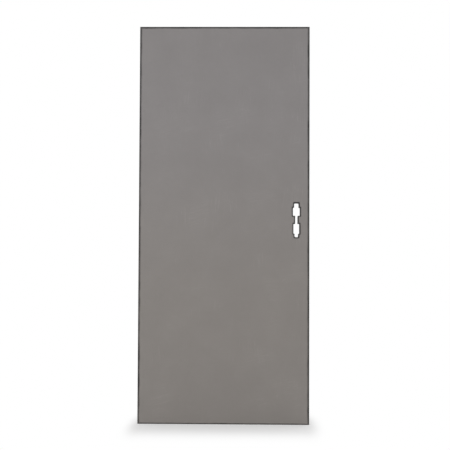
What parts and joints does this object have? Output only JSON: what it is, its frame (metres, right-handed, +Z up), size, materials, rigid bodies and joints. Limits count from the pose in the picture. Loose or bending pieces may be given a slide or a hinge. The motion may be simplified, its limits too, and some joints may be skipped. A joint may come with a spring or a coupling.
{
  "type": "steel utility door leaf",
  "caption": "Flush hollow steel door leaf in grey primer, with hinge mortises, a mortise lock's edge and face cut-outs, end channels and a honeycomb core.",
  "frame": {"origin": "middle hinge's seat in the hinge edge, at half the leaf's thickness and at the middle of the hinge's height", "axes": "+X across the leaf from the hinge edge to the lock edge, +Y through the leaf from the front face to the back face, +Z up"},
  "size_m": [0.908, 0.0446, 2.115],
  "materials": {
    "grey_primer": "baked grey primer, matt",
    "plate_steel": "bare galvanised steel, satin",
    "kraft_honeycomb": "brown kraft paper, matt"
  },
  "bodies": {
    "root": {"front_face_sheet": "grey_primer", "back_face_sheet": "grey_primer", "top_end_channel": "grey_primer", "bottom_end_channel": "grey_primer", "top_hinge_reinforcement": "plate_steel", "middle_hinge_reinforcement": "plate_steel", "bottom_hinge_reinforcement": "plate_steel", "upper_lock_tab": "plate_steel", "lower_lock_tab": "plate_steel", "honeycomb_core": "kraft_honeycomb"}
  },
  "joints": []
}
